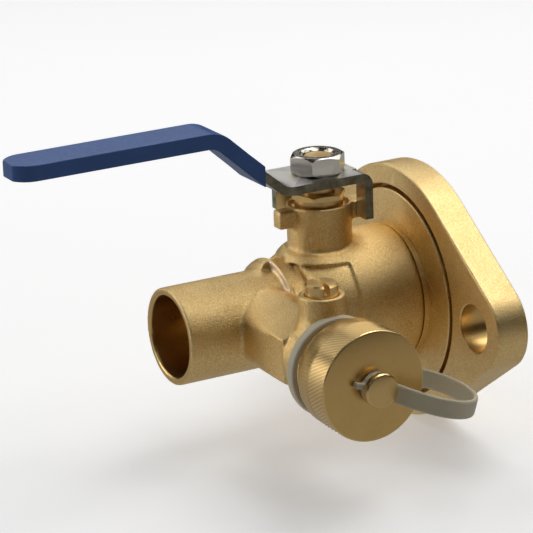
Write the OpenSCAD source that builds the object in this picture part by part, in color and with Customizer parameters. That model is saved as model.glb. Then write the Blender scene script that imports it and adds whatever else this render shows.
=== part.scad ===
// Isolation ball valve with a solder socket, a loose two-bolt flange and a side drain.
// The row origin is the centre of the flange's bolt pattern, on the flange's pump face.
// +X runs along the pipe towards the pump, +Z up the main stem, and the drain points to -Y.
// Modules are drawn round the main ball's centre, and place() moves them to the row origin.

/* [Pipe line] */
// From the ball's centre to the end of the solder socket
inlet_len = 46.6; // [44:0.1:60]
// Outer diameter of the solder end
tube_od = 26.4; // [25.4:0.1:27.4]
// Bore of the solder socket, for 3/4 inch copper tube
socket_d = 22.3; // [18:0.1:22.6]
// Depth of the solder socket
socket_depth = 19.5; // [14:0.1:20]
// Bore through the valve
port_d = 18; // [14:0.1:18.4]

/* [Main ball and chamber] */
// Diameter of the main ball
ball_d = 27.6; // [27:0.1:34]
// Gap between the ball and the chamber
ball_gap = 0.3; // [0.2:0.05:0.6]
// Outer diameter of each seat ring
seat_od = 24; // [23.4:0.1:25]
// Thickness of a seat ring behind its line of contact
seat_back = 1.7; // [1.2:0.1:2.5]
// Wall of the barrel round the chamber
barrel_wall = 5.4; // [4:0.1:8]
// Wall at the thin raised ridge
ridge_wall = 4.1; // [3:0.1:6]
// Height of the raised rim beside the solder end, over the tube
rim_height = 2.6; // [1.5:0.1:4]
// Clearance round rings and plugs that are fitted and stay still
seat_gap = 0.05; // [0.02:0.01:0.1]

/* [Main stem] */
// Diameter of the stem
stem_d = 9; // [7:0.1:9.4]
// Diameter of the stem's collar, which keeps it in the body
stem_collar_d = 12.8; // [12:0.1:13.4]
// Thread diameter of the stem's end, for the handle nut
stem_end_d = 7.9; // [6:0.1:8.4]
// Width over the flats of the stem's end
stem_flats = 5.9; // [4.5:0.1:6.5]
// Running clearance of a stem in its bore
run_gap = 0.06; // [0.02:0.01:0.1]
// Outer diameter of the stem boss
boss_d = 17.6; // [17:0.1:20]
// Height of the stem boss over the ball
boss_rise = 15.7; // [15:0.1:20]
// Diameter of the packing rings and of the gland nut's thread
packing_d = 13.1; // [12:0.1:13.4]
// Number of packing rings
packing_count = 3; // [2:1:3]
// Width over the gland nut's flats
gland_flats = 13.2; // [12:0.1:13.8]
// How far a stop lug reaches from the stem's axis
lug_reach = 13.1; // [12:0.1:14]
// Height of a stop lug
lug_h = 4.9; // [3:0.1:6]

/* [Lever] */
// Thickness of the lever's plate
plate_t = 2.4; // [1.5:0.1:3]
// Width of the plate at the stem
plate_w = 18.3; // [16:0.1:18.4]
// Gap between the boss's top and the plate
plate_lift = 5.8; // [4.5:0.1:8]
// Width of the lever's blade
blade_w = 10.8; // [8:0.1:14]
// From the stem's axis to the lever's tip
lever_len = 90; // [70:0.1:120]
// From the stem's axis to the foot of the slope
slope_foot = 14.6; // [14:0.1:20]
// Angle of the slope
slope_angle = 42.5; // [30:0.5:50]
// Height of the blade over the plate
blade_rise = 16.6; // [8:0.1:20]
// Wall of the dipped grip
grip_wall = 0.95; // [0.5:0.05:1.5]
// From the stem's axis to the edge of the grip, along the pipe
grip_start = 19.7; // [19:0.1:24]
// Width over the handle nut's flats
nut_flats = 13.4; // [12:0.1:14]
// Height of the handle nut
nut_h = 5.35; // [4:0.05:7]
// Turn of the handle nut as tightened
nut_turn = -10; // [-30:1:30]
// How far the right tab hangs under the plate's top
end_tab_drop = 12.9; // [11:0.1:13]
// How far the rear tab hangs under the plate's top
side_tab_drop = 11.6; // [10.5:0.1:13]

/* [Flange] */
// Distance between the two bolt holes
bolt_spacing = 80.2; // [78:0.1:100]
// Diameter of each bolt hole
bolt_hole_d = 13; // [9:0.1:13.5]
// Metal round each bolt hole
ear_wall = 5.7; // [4:0.1:8]
// Thickness of the flange
flange_t = 9.5; // [8:0.1:14]
// Diameter of the fixed collar inside the flange
collar_d = 56.9; // [50:0.1:58]
// Gap between the collar and the flange's bore, on radius
flange_play = 1.06; // [0.4:0.02:1.4]
// How far the collar's lip stands over the flange's bore
lip_over = 2.3; // [1.5:0.1:3]
// Thickness of the lip
lip_t = 4.6; // [3:0.1:5.5]
// Metal outside the lip's recess
hub_wall = 3.4; // [2.5:0.1:6]
// Clearance of the lip in its recess
lip_gap = 0.1; // [0.05:0.01:0.3]
// How far the tailpiece's face stands proud of the flange
face_proud = 0.4; // [0:0.1:0.8]

/* [Drain] */
// Diameter of the drain ball
drain_ball_d = 16.4; // [16:0.1:20]
// Bore of the drain
drain_port_d = 10; // [7:0.1:10.4]
// From the pipe's axis to the drain ball's centre
drain_reach = 37.3; // [37:0.1:50]
// Wall at the flats of the branch's hexagon
drain_hex_wall = 1.65; // [1.4:0.05:3]
// Wall of the round neck
neck_wall = 2.1; // [1.9:0.1:4]
// Diameter of the slotted stem
drain_stem_d = 8.64; // [7.5:0.02:8.8]
// Wall of the slotted stem's boss
drain_boss_wall = 1.67; // [1.3:0.01:3]
// Height of that boss over the drain ball
drain_boss_rise = 9.4; // [8.5:0.1:12]
// Turn of the screwdriver slot away from the drain's axis
slot_turn = -9.5; // [-20:0.5:20]
// Outer diameter of the hose thread
hose_thread_d = 27.1; // [26:0.1:27.2]
// Pitch of the hose thread
hose_pitch = 2.209; // [2:0.001:2.5]
// Length of the hose thread
hose_len = 9.2; // [7:0.1:12]

/* [Cap and strap] */
// Wall of the cap round its thread
cap_wall = 1.05; // [0.8:0.05:3]
// Clearance of the cap's thread
cap_gap = 0.1; // [0.05:0.01:0.1]
// Thickness of the cap's end
cap_end_t = 2.5; // [2:0.1:5]
// Thickness of the rubber washer
gasket_t = 1.85; // [1:0.05:3]
// Diameter of the button's head
button_d = 9.2; // [8:0.1:14]
// Diameter of the button's neck
button_neck_d = 5.2; // [4:0.1:5.4]
// Height of the button over the cap's face
button_h = 4.5; // [4:0.1:7]
// Width of the strap
strap_w = 5; // [4:0.1:6]
// Thickness of the strap
strap_t = 1.3; // [1:0.1:1.8]
// How far the strap hangs round the drain's axis
strap_hang = 18; // [0:1:30]

/* [Hidden] */
$fn = 96;
eps = 0.02;          // small overlap of pieces that are joined
contact_gap = 0.02;  // gap between faces that meet across a joint

// Main ball, seats and chamber, on radius and from the ball's centre
port_r = port_d / 2;
ball_r = ball_d / 2;
seat_r = seat_od / 2;
seat_bore_r = port_r + 0.2;
seat_pocket_r = seat_r + seat_gap;
seat_face_x = sqrt(pow(ball_r, 2) - pow(seat_r - 0.68, 2));
seat_back_x = sqrt(pow(ball_r, 2) - pow(seat_bore_r, 2)) + seat_back;
cavity_r = ball_r + ball_gap;
barrel_r = cavity_r + barrel_wall;
ridge_r = seat_pocket_r + ridge_wall;
ridge_x = -(seat_face_x + 2.3);
ridge_w = 1.2;
tube_r = tube_od / 2;
rim_r = tube_r + rim_height;
rim_knee_r = rim_r - 0.8;
rim_x = -(seat_back_x + 3.3);
rim_foot = 3.6;         // the rim's back slope starts this far behind its face
rim_knee = 2.4;
rim_band = 0.6;
rim_trim = 0.75;
rim_cut_from = 0.6;     // the trimmed side begins this far off the middle
draft = 0.05;           // step where a forged shape meets a cut one
socket_stop_x = socket_depth - inlet_len;

// Tailpiece thread, seal and collar
thread_r = cavity_r + 1.4;
thread_x = seat_back_x + 0.4;
barrel_x = seat_back_x + 9.3;
seal_depth = 1.4;
seal_r = thread_r + 1.5;
collar_x = barrel_x + 1.5;
collar_r = collar_d / 2;
flange_x = collar_x + 0.3;
flange_back_x = flange_x + flange_t;
flange_bore_r = collar_r + flange_play;
lip_r = flange_bore_r + lip_over;
face_x = flange_back_x + face_proud;
lip_x = face_x - lip_t;
recess_x = lip_x - 0.3;
hub_r = lip_r + lip_gap + hub_wall;
ear_r = bolt_hole_d / 2 + ear_wall;
outlet_flare_r = port_r + 3.5;

// Main stem, from the ball's centre upwards
stem_r = stem_d / 2;
stem_collar_r = stem_collar_d / 2;
stem_collar_z = ball_r + 0.5;
stem_collar_t = 2;
washer_z = stem_collar_z + stem_collar_t;
washer_t = 1.2;
packing_z = ball_r + 7.2;
packing_r = packing_d / 2;
packing_t = 1.5;
gland_z = packing_z + packing_count * packing_t;
boss_z = ball_r + boss_rise;
boss_r = boss_d / 2;
boss_flare = 3.4;
boss_knee_z = ridge_r + 0.6;
boss_recess_r = boss_r - 0.9;
boss_recess_z = boss_z - 2;
gland_hex_z = boss_z + 1.1;
gland_top_z = gland_hex_z + 1.8;
stem_bore_r = stem_r + run_gap;
tang_w = 4;
tang_l = 7.6;
tang_foot_z = ball_r - 2.2;
slot_gap = 0.1;
plate_z = boss_z + plate_lift;
plate_top_z = plate_z + plate_t;
stem_end_r = stem_end_d / 2;
stem_top_z = plate_top_z + nut_h - 0.6;
lug_top_z = boss_z - 0.7;
lug_w = 4.2;
wide_lug_front = 4.1;

// Lever, as a centre line in the XZ plane
blade_z = plate_z + plate_t / 2 + blade_rise;
slope_run = blade_rise / tan(slope_angle);
tab_stand = 0.45;    // gap between the boss and the inside of each tab
tab_in = boss_r + tab_stand;
tab_bend = 0.9;      // inside radius of a tab's bend
end_tab_w = 4.8;
side_tab_left = 7.9;
stop_gap = 0.25;     // gap left between a tab and the lug that stops it
side_tab_right = lug_w / 2 + stop_gap;

// Drain, measured along its own axis from the pipe's axis
drain_x = -(seat_back_x + 8.9);
drain_ball_r = drain_ball_d / 2;
drain_port_r = drain_port_d / 2;
drain_cavity_r = drain_ball_r + 0.4;
drain_seat_r = drain_cavity_r - 0.1;
drain_seat_bore_r = drain_port_r + 0.2;
drain_seat_in = sqrt(pow(drain_ball_r, 2) - pow(drain_seat_r - 1.3, 2));
drain_seat_out = sqrt(pow(drain_ball_r, 2) - pow(drain_port_r, 2)) + 0.1;
drain_hex_half = drain_cavity_r + drain_hex_wall;
drain_hex_r = drain_hex_half / cos(30);
branch_r = drain_hex_half + 0.35;
branch_blend = 7;       // round to hexagon over this length
hex_start = drain_reach - 10.1;
hex_end = drain_reach - 2.8;
neck_r = drain_cavity_r + neck_wall;
neck_end = drain_reach + 9.9;
nipple_thread_r = drain_cavity_r + 0.65;
shoulder_at = neck_end + 0.8;
shoulder_r = neck_r + 0.7;
hose_start = shoulder_at + 1;
hose_end = hose_start + hose_len;
hose_r = hose_thread_d / 2;
drain_stem_r = drain_stem_d / 2;
drain_collar_r = drain_stem_r + 0.9;
drain_collar_z = drain_seat_r + 0.12;
drain_collar_t = 1.5;
drain_boss_r = drain_stem_r + 0.08 + drain_boss_wall;
drain_boss_z = drain_ball_r + drain_boss_rise;
drain_stem_top = drain_boss_z + 3;
drain_tang_w = 3;
drain_tang_r = min(drain_stem_r, drain_seat_in - 0.2);  // turns clear of the seats
drain_slot_z = drain_ball_r - 1.7;
ring_section = 1.4;
ring_levels = [drain_boss_z - 6, drain_boss_z - 3.4];

// Cap, on the drain's axis
gasket_at = hose_end + contact_gap + 0.03;
cap_bottom = gasket_at + gasket_t + 0.1;
cap_face = cap_bottom + cap_end_t;
cap_start = neck_end + 1;
cap_bore_r = hose_r + cap_gap;
cap_r = cap_bore_r + cap_wall;
button_end = cap_face + button_h;
button_head_t = 2;
button_neck_r = button_neck_d / 2;

// Strap: a ring round the neck, a bent strip and an eye on the button
strap_ring_r = neck_r + 1.1;
strap_ring_t = 1.75;
strap_ring_at = drain_reach + drain_boss_r + 0.4;
strap_ring_w = 3.2;
strap_drop = 0.5;
eye_r = button_neck_r + 0.45;
eye_wall = 1.25;
eye_at = cap_face + 0.3;
eye_t = button_h - button_head_t - 0.6;
strip_root = [strap_ring_r + strap_ring_t / 2, strap_ring_at + strap_ring_w / 2];
strip_tip = [eye_r + eye_wall / 2, eye_at + eye_t / 2];
strip_bend = [eye_r + eye_wall + 1.3, eye_at + eye_t / 2 + 0.45];
strip_side = [33, 54];
strip_low = 0.5;      // the strip sits this much low on the eye
STRIP_OUT = [strip_root, [24, 39.5], [33.5, 42], strip_side];
STRIP_BACK = [strip_side, [32.5, 68], [15, 87], strip_bend];

brass = "#c9a25a";
steel = "#a9a79a";
vinyl = "#2f5fa3";
ptfe = "#f2f0e8";
rubber = "#2b2b2b";
ivory = "#d8d0b4";

// ---- helpers ----

// Moves a module drawn round the main ball's centre to the row origin
module place() translate([-flange_back_x, 0, 0]) children();

// Turns +Z to +X, the way of the pipe
module along_pipe() rotate([0, 90, 0]) children();

// Turns +Z to -Y on the drain's axis
module along_drain() translate([drain_x, 0, 0]) rotate([90, 0, 0]) children();

// A disc or tube between two stations on its own axis
module disc(r, from, to) translate([0, 0, from]) cylinder(r = r, h = to - from);

module cone(r1, r2, from, to) translate([0, 0, from]) cylinder(r1 = r1, r2 = r2, h = to - from);

module hexagon(flats, from, to) translate([0, 0, from])
    cylinder(r = flats / 2 / cos(30), h = to - from, $fn = 6);

module ring(r_out, r_in, from, to) difference() {
    disc(r_out, from, to);
    disc(r_in, from - 1, to + 1);
}

// A hexagon nut with both of its ends chamfered
module chamfered_hexagon(flats, from, to, chamfer) intersection() {
    hexagon(flats, from, to);
    union() {
        cone(flats / 2 - 0.3, flats / 2 + 2, from, from + chamfer + 0.6);
        disc(flats, from + chamfer + 0.6, to - chamfer - 0.6);
        cone(flats / 2 + 2, flats / 2 - 0.3, to - chamfer - 0.6, to);
    }
}

// A round bar cut to two parallel flats that face +Y and -Y
module flatted_bar(r, flats, from, to) intersection() {
    disc(r, from, to);
    translate([-r - 1, -flats / 2, from]) cube([2 * r + 2, flats, to - from]);
}

// Points of a cubic curve through four control points
function curve_point(p, t) = pow(1 - t, 3) * p[0] + 3 * pow(1 - t, 2) * t * p[1]
    + 3 * (1 - t) * pow(t, 2) * p[2] + pow(t, 3) * p[3];
function curve(p, steps) = [for (i = [0:steps]) curve_point(p, i / steps)];

// The outline of a strip of width w along a list of points
function unit(v) = v / norm(v);
function side(v) = [-v[1], v[0]];
function heading(p, i) = unit(p[min(i + 1, len(p) - 1)] - p[max(i - 1, 0)]);
function strip(p, w) = concat(
    [for (i = [0:len(p) - 1]) p[i] + side(heading(p, i)) * w / 2],
    [for (i = [len(p) - 1:-1:0]) p[i] - side(heading(p, i)) * w / 2]);

// ---- body ----

module chamber_shell() along_pipe() {
    steps = 10;
    from = ridge_x + ridge_w;
    to = 2;
    rotate_extrude() polygon(concat([[0, from]],
        [for (i = [0:steps])
            [ridge_r - 0.35 + (barrel_r - 0.8 - ridge_r + 0.35) * sin(90 * i / steps),
             from + (to - from) * i / steps]],
        [[0, to]]));
    disc(ridge_r, ridge_x, from + eps);
    cone(barrel_r, barrel_r - 0.4, to - eps, barrel_x - 0.7);
    cone(barrel_r - 0.4, barrel_r - 0.8, barrel_x - 0.7, barrel_x);
}

module inlet_shell() along_pipe() {
    disc(tube_r, -inlet_len, rim_x);
    difference() {
        union() {
            cone(tube_r, rim_knee_r, rim_x - rim_foot, rim_x - rim_knee);
            cone(rim_knee_r, rim_r, rim_x - rim_knee, rim_x - rim_band);
            disc(rim_r, rim_x - rim_band - eps, rim_x + eps);
        }
        // the rim is trimmed flat on the drain's side
        translate([-2 * rim_r, -2 * rim_r, rim_x - rim_foot - 1])
            cube([4 * rim_r, 2 * rim_r - rim_cut_from, rim_foot + 1 - rim_trim]);
    }
    hexagon(2 * ridge_r * cos(30), rim_x, ridge_x + eps);
}

module stem_boss() {
    disc(boss_r, 0, boss_z);
    // the root flares in two slopes
    cone(boss_r + boss_flare, boss_r + boss_flare / 2, ridge_r - 1.2, boss_knee_z);
    cone(boss_r + boss_flare / 2, boss_r, boss_knee_z - eps, boss_knee_z + 0.5);
    translate([-lug_reach, -lug_w / 2, lug_top_z - lug_h])
        cube([lug_reach, lug_w, lug_h]);
    translate([0, -wide_lug_front, lug_top_z - lug_h])
        cube([lug_reach, wide_lug_front + lug_w / 2, lug_h]);
}

module drain_branch() {
    along_drain() hull() {
        disc(branch_r, port_r / 2, hex_start - branch_blend, $fn = 48);
        rotate([0, 0, 30])
            disc(drain_hex_r - draft, hex_start - 2 * draft, hex_start, $fn = 6);
    }
    along_drain() {
        rotate([0, 0, 30]) hexagon(2 * drain_hex_half, hex_start - draft, hex_end);
        disc(neck_r, hex_end - eps, neck_end);
    }
    translate([drain_x, -drain_reach, 0]) {
        disc(drain_boss_r, 0, drain_boss_z);
        cone(drain_boss_r + 1.2, drain_boss_r, drain_ball_r, drain_ball_r + 3.6);
    }
}

module flow_bores() along_pipe() {
    disc(socket_d / 2, -inlet_len - 1, socket_stop_x);
    disc(port_r, socket_stop_x - 1, 0);
    disc(seat_pocket_r, -seat_back_x, 0);
    disc(cavity_r, -seat_face_x, thread_x + eps);
    disc(thread_r + seat_gap, thread_x, barrel_x + 1);
    disc(seal_r + seat_gap, barrel_x - seal_depth, barrel_x + 1);
}

module stem_bores() {
    disc(stem_collar_r + run_gap, 0, washer_z + washer_t);
    disc(stem_bore_r, 0, boss_z + 1);
    disc(packing_r + seat_gap, packing_z, boss_z + 1);
    disc(boss_recess_r, boss_recess_z, boss_z + 1);
}

module drain_bores() {
    along_drain() {
        disc(drain_port_r, 0, drain_reach);
        disc(drain_cavity_r, drain_reach - drain_seat_out, neck_end + 1);
        disc(nipple_thread_r + seat_gap, drain_reach + drain_seat_out, neck_end + 1);
    }
    translate([drain_x, -drain_reach, 0]) {
        disc(drain_collar_r + 0.05, 0, drain_collar_z + drain_collar_t + 0.05);
        disc(drain_stem_r + 0.08, 0, drain_boss_z + 1);
    }
}

module valve_body() color(brass) place() difference() {
    union() {
        chamber_shell();
        inlet_shell();
        stem_boss();
        drain_branch();
    }
    flow_bores();
    stem_bores();
    drain_bores();
}

// ---- outlet end ----

module flange_tailpiece() color(brass) place() along_pipe() difference() {
    union() {
        disc(cavity_r - seat_gap, seat_face_x + 0.3, thread_x + 0.1);
        disc(thread_r, thread_x + 0.1, barrel_x);
        disc(barrel_r - 0.6, barrel_x, collar_x + 0.1);
        cone(collar_r - 0.3, collar_r, collar_x, collar_x + 0.3);
        disc(collar_r, collar_x + 0.3 - eps, face_x - 1);
        disc(lip_r, lip_x, face_x - 0.5);
        cone(lip_r, lip_r - 0.5, face_x - 0.5, face_x);
    }
    disc(port_r, 0, face_x + 1);
    disc(seat_pocket_r, 0, seat_back_x);
    cone(port_r, outlet_flare_r, face_x - 7, face_x + eps);
}

module flange_outline() {
    // the straight flanks touch the hub's and the ears' circles
    reach = bolt_spacing / 2;
    lean = asin((hub_r - ear_r) / reach);
    hub = hub_r * [cos(lean), sin(lean)];
    ear = [0, reach] + ear_r * [cos(lean), sin(lean)];
    circle(r = hub_r);
    for (end = [-1, 1]) translate([0, end * reach]) circle(r = ear_r);
    polygon([hub, ear, [-ear[0], ear[1]], [-hub[0], hub[1]],
             -hub, -ear, [ear[0], -ear[1]], [hub[0], -hub[1]]]);
}

module rotating_flange() color(brass) place() difference() {
    along_pipe() translate([0, 0, flange_x]) linear_extrude(flange_t) flange_outline();
    along_pipe() {
        disc(flange_bore_r, flange_x - 1, flange_back_x + 1);
        disc(lip_r + lip_gap, recess_x, flange_back_x + 1);
        for (end = [-1, 1]) translate([0, end * bolt_spacing / 2, 0])
            disc(bolt_hole_d / 2, flange_x - 1, flange_back_x + 1);
    }
}

module tailpiece_seal() color(rubber) place() along_pipe()
    ring(seal_r, thread_r + seat_gap, barrel_x - seal_depth + 0.02, barrel_x - 0.02);

// ---- main ball and seats ----

module main_ball() color(steel) place() difference() {
    sphere(r = ball_r);
    along_pipe() disc(port_r, -ball_r - 1, ball_r + 1);
    translate([-tang_w / 2 - slot_gap, -ball_r, tang_foot_z - slot_gap])
        cube([tang_w + 2 * slot_gap, 2 * ball_r, ball_r]);
}

module seat(hand) scale([hand, 1, 1]) along_pipe() difference() {
    ring(seat_r, seat_bore_r, seat_face_x, seat_back_x - 0.01);
    sphere(r = ball_r + contact_gap);
}

module ball_seat_inlet() color(ptfe) place() mirror([1, 0, 0]) seat(1);

module ball_seat_outlet() color(ptfe) place() seat(1);

// ---- main stem ----

module valve_stem() color(brass) place() {
    intersection() {
        translate([-tang_w / 2, -tang_l / 2, tang_foot_z])
            cube([tang_w, tang_l, stem_collar_z - tang_foot_z + eps]);
        disc(stem_collar_r, tang_foot_z, stem_collar_z + eps);
    }
    disc(stem_collar_r, stem_collar_z, washer_z);
    disc(stem_r, washer_z - eps, plate_z);
    flatted_bar(stem_end_r, stem_flats, plate_z - eps, stem_top_z - 0.6);
    intersection() {
        flatted_bar(stem_end_r, stem_flats, stem_top_z - 0.6 - eps, stem_top_z);
        cone(stem_end_r, stem_end_r - 0.7, stem_top_z - 0.6 - eps, stem_top_z);
    }
}

module stem_thrust_washer() color(ptfe) place()
    ring(stem_collar_r, stem_r + 0.02, washer_z + 0.005, washer_z + washer_t - contact_gap);

module stem_packing() color(ptfe) place()
    for (i = [0:packing_count - 1]) translate([0, 0, packing_z + i * packing_t])
        ring(packing_r, stem_bore_r, 0.02, packing_t - 0.02);

module packing_gland_nut() color(brass) place() difference() {
    union() {
        disc(packing_r, gland_z, gland_hex_z + eps);
        rotate([0, 0, nut_turn]) chamfered_hexagon(gland_flats, gland_hex_z, gland_top_z, 0.05);
    }
    disc(stem_bore_r, gland_z - 1, gland_top_z + 1);
}

// ---- lever ----

// Centre line with its two bends rounded
function bend(a, b, c, r, steps) =
    let (u = unit(a - b), w = unit(c - b), half = acos(u * w) / 2, d = r / tan(half),
         centre = b + unit(u + w) * r / sin(half),
         from = b + u * d - centre, to = b + w * d - centre)
    [for (i = [0:steps]) centre + r * unit(from * (1 - i / steps) + to * i / steps)];

module lever_side(t, tip) {
    mid_z = plate_z + plate_t / 2;
    foot = [-slope_foot, mid_z];
    crest = [-slope_foot - slope_run, blade_z];
    plate_end = [tab_in, mid_z];
    path = concat([plate_end], bend(plate_end, foot, crest, 5, 8),
        bend(foot, crest, [tip, blade_z], 7, 8), [[tip, blade_z]]);
    polygon(strip(path, t));
}

module lever_plan(grow) {
    round_r = blade_w / 2 - 0.6 + grow;
    tip = -lever_len + grip_wall - grow;
    polygon([
        [tab_in, -plate_w / 2], [tab_in, plate_w / 2], [-slope_foot + 2, plate_w / 2],
        [-slope_foot - 9, blade_w / 2 + grow], [tip + round_r, blade_w / 2 + grow],
        [tip + round_r, -blade_w / 2 - grow], [-slope_foot - 9, -blade_w / 2 - grow],
        [-slope_foot + 2, -plate_w / 2]]);
    translate([tip + round_r, 0]) intersection() {
        circle(r = round_r + 0.6);
        translate([-round_r, -blade_w]) square([2 * round_r, 2 * blade_w]);
    }
}

// The lever's blade, grown all round by the grip's wall where it is asked for
module lever_blade(grow) intersection() {
    translate([0, plate_w, 0]) rotate([90, 0, 0])
        linear_extrude(2 * plate_w) lever_side(plate_t + 2 * grow, -lever_len + grip_wall - grow);
    translate([0, 0, plate_z - 5]) linear_extrude(blade_rise + 20) lever_plan(grow);
}

// A tab bent down from the plate: its outer face on x = 0, its width along y from 0
module bent_tab(width, drop, tail) {
    outer = tab_bend + plate_t;
    translate([0, width, plate_top_z]) rotate([90, 0, 0]) linear_extrude(width) {
        translate([-outer, -outer]) intersection() {
            difference() {
                circle(r = outer);
                circle(r = tab_bend);
            }
            square(outer);
        }
        translate([-plate_t, -drop]) square([plate_t, drop - outer + eps]);
        translate([-outer - tail, -plate_t]) square([tail + eps, plate_t]);
    }
}

module lever_handle() color(steel) place() difference() {
    union() {
        intersection() {
            lever_blade(0);
            // the plate's end stays short of the end tab's bend
            translate([-2 * lever_len, -plate_w, 0])
                cube([2 * lever_len + tab_in - tab_bend, 2 * plate_w, 3 * plate_z]);
        }
        translate([tab_in + plate_t, -plate_w / 2, 0]) bent_tab(end_tab_w, end_tab_drop, 2);
        // beside the end tab the plate runs on to its own cut end
        translate([tab_in - tab_bend - eps, -plate_w / 2 + end_tab_w + 0.6, plate_z])
            cube([tab_bend + 0.6, plate_w - end_tab_w - 0.6, plate_t]);
        translate([-side_tab_left, tab_in + plate_t, 0]) mirror([1, -1, 0])
            bent_tab(side_tab_left - side_tab_right, side_tab_drop, 2);
    }
    flatted_bar(stem_end_r + 0.03, stem_flats + 0.06, plate_z - 1, plate_top_z + 1);
}

module lever_grip() color(vinyl) place() difference() {
    intersection() {
        lever_blade(grip_wall);
        grip_side();
    }
    lever_blade(0.01);
}

// Everything on the grip's side of its upright edge
module grip_side() translate([-grip_start - 2 * lever_len, -plate_w, 0])
    cube([2 * lever_len, 2 * plate_w, 2 * lever_len]);

module handle_nut() color(steel) place() difference() {
    rotate([0, 0, nut_turn])
        chamfered_hexagon(nut_flats, plate_top_z + 0.01, plate_top_z + nut_h, 0.85);
    disc(stem_end_r + 0.03, plate_top_z - 1, plate_top_z + nut_h + 1);
    cone(stem_end_r, stem_end_r + 0.9, plate_top_z + nut_h - 0.8, plate_top_z + nut_h + 0.1);
}

// ---- drain valve ----

module drain_ball() color(steel) place() translate([drain_x, -drain_reach, 0]) difference() {
    sphere(r = drain_ball_r);
    rotate([90, 0, 0]) disc(drain_port_r, -drain_ball_r - 1, drain_ball_r + 1);
    translate([-drain_ball_r, -drain_tang_w / 2 - slot_gap, drain_slot_z - slot_gap])
        cube([2 * drain_ball_r, drain_tang_w + 2 * slot_gap, drain_ball_r]);
}

module drain_seat() difference() {
    ring(drain_seat_r, drain_seat_bore_r, drain_seat_in, drain_seat_out - 0.01);
    sphere(r = drain_ball_r + contact_gap);
}

module drain_seat_inner() color(ptfe) place() along_drain()
    translate([0, 0, drain_reach]) mirror([0, 0, 1]) drain_seat();

module drain_seat_outer() color(ptfe) place() along_drain()
    translate([0, 0, drain_reach]) drain_seat();

module drain_stem() color(brass) place() translate([drain_x, -drain_reach, 0]) difference() {
    union() {
        intersection() {
            translate([-drain_stem_r, -drain_tang_w / 2, drain_slot_z])
                cube([2 * drain_stem_r, drain_tang_w, drain_collar_z - drain_slot_z + eps]);
            disc(drain_tang_r, 0, drain_collar_z + eps);
        }
        disc(drain_collar_r, drain_collar_z, drain_collar_z + drain_collar_t);
        disc(drain_stem_r, drain_collar_z, drain_stem_top - 0.5);
        cone(drain_stem_r, drain_stem_r - 0.5, drain_stem_top - 0.5 - eps, drain_stem_top);
    }
    for (z = ring_levels) ring(drain_stem_r + 1, drain_stem_r - 1, z, z + ring_section);
    rotate([0, 0, slot_turn]) translate([-0.75, -drain_stem_r - 1, drain_stem_top - 2.3])
        cube([1.5, 2 * drain_stem_r + 2, 3]);
}

module drain_stem_rings() color(rubber) place() translate([drain_x, -drain_reach, 0])
    for (z = ring_levels)
        ring(drain_stem_r + 0.04, drain_stem_r - 0.98, z + 0.02, z + ring_section - 0.02);

module drain_outlet_nipple() color(brass) place() along_drain() difference() {
    union() {
        disc(nipple_thread_r, drain_reach + drain_seat_out, shoulder_at + eps);
        disc(shoulder_r, shoulder_at, hose_start);
        disc(hose_r, hose_start - eps, hose_end - 0.6);
        cone(hose_r, hose_r - 0.6, hose_end - 0.6 - eps, hose_end);
    }
    disc(drain_port_r, 0, hose_end + 1);
    cone(drain_port_r, hose_r - 4, hose_end - 6, hose_end + eps);
    // thread grooves, drawn as rings
    for (at = [hose_start + 0.8:hose_pitch:hose_end - 1.4])
        translate([0, 0, at]) rotate_extrude() translate([hose_r, 0])
            polygon([[0.1, -0.8], [-1.1, -0.15], [-1.1, 0.15], [0.1, 0.8]]);
}

module nipple_seal() color(rubber) place() along_drain()
    ring(shoulder_r - 0.2, nipple_thread_r + seat_gap, neck_end + 0.02, shoulder_at - 0.02);

// ---- cap and strap ----

module drain_cap() color(brass) place() along_drain() difference() {
    union() {
        cone(cap_r - 1, cap_r, cap_start, cap_start + 2);
        disc(cap_r, cap_start + 2 - eps, cap_face - 0.4);
        cone(cap_r, cap_r - 0.4, cap_face - 0.4 - eps, cap_face);
        disc(button_neck_r, cap_face - eps, button_end - 0.5);
        disc(button_d / 2, button_end - button_head_t, button_end - 0.5);
        cone(button_d / 2, button_d / 2 - 0.5, button_end - 0.5 - eps, button_end);
    }
    disc(cap_bore_r, cap_start - 1, cap_bottom);
}

module drain_cap_gasket() color(rubber) place() along_drain()
    ring(hose_r - 0.2, drain_port_r + 1, gasket_at, gasket_at + gasket_t);

module cap_strap() color(ivory) place() along_drain() {
    translate([0, -strap_drop, 0])
        ring(strap_ring_r + strap_ring_t, strap_ring_r, strap_ring_at, strap_ring_at + strap_ring_w);
    ring(eye_r + eye_wall, eye_r, eye_at, eye_at + eye_t);
    rotate([0, 0, -strap_hang]) {
        // short tail on the far side of the eye
        translate([-eye_r - eye_wall - 2.3, -0.8, eye_at]) cube([2.7, 1.6, eye_t]);
        translate([0, strap_w / 2 - strip_low, 0]) rotate([90, 0, 0])
            linear_extrude(strap_w) polygon(strip(strap_path(), strap_t));
    }
}

function strap_path() = concat(curve(STRIP_OUT, 12),
    [for (i = [1:16]) curve_point(STRIP_BACK, i / 16)], [strip_tip]);

valve_body();
flange_tailpiece();
rotating_flange();
main_ball();
ball_seat_inlet();
ball_seat_outlet();
tailpiece_seal();
valve_stem();
stem_thrust_washer();
stem_packing();
packing_gland_nut();
lever_handle();
lever_grip();
handle_nut();
drain_ball();
drain_seat_inner();
drain_seat_outer();
drain_stem();
drain_stem_rings();
drain_outlet_nipple();
nipple_seal();
drain_cap();
drain_cap_gasket();
cap_strap();
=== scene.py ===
# %% [markdown]
# # A brass ball valve with a loose flange and a side drain
# This lesson dresses a finished CAD model of a small plumbing valve. The CAD file holds every
# size and every moving part. Here the forged, turned, plated, dipped and moulded surfaces are
# made, piece by piece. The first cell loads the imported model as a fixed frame. Everything is in
# metres, with +X along the pipe, +Z up the main stem and the drain pointing to -Y.

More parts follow.
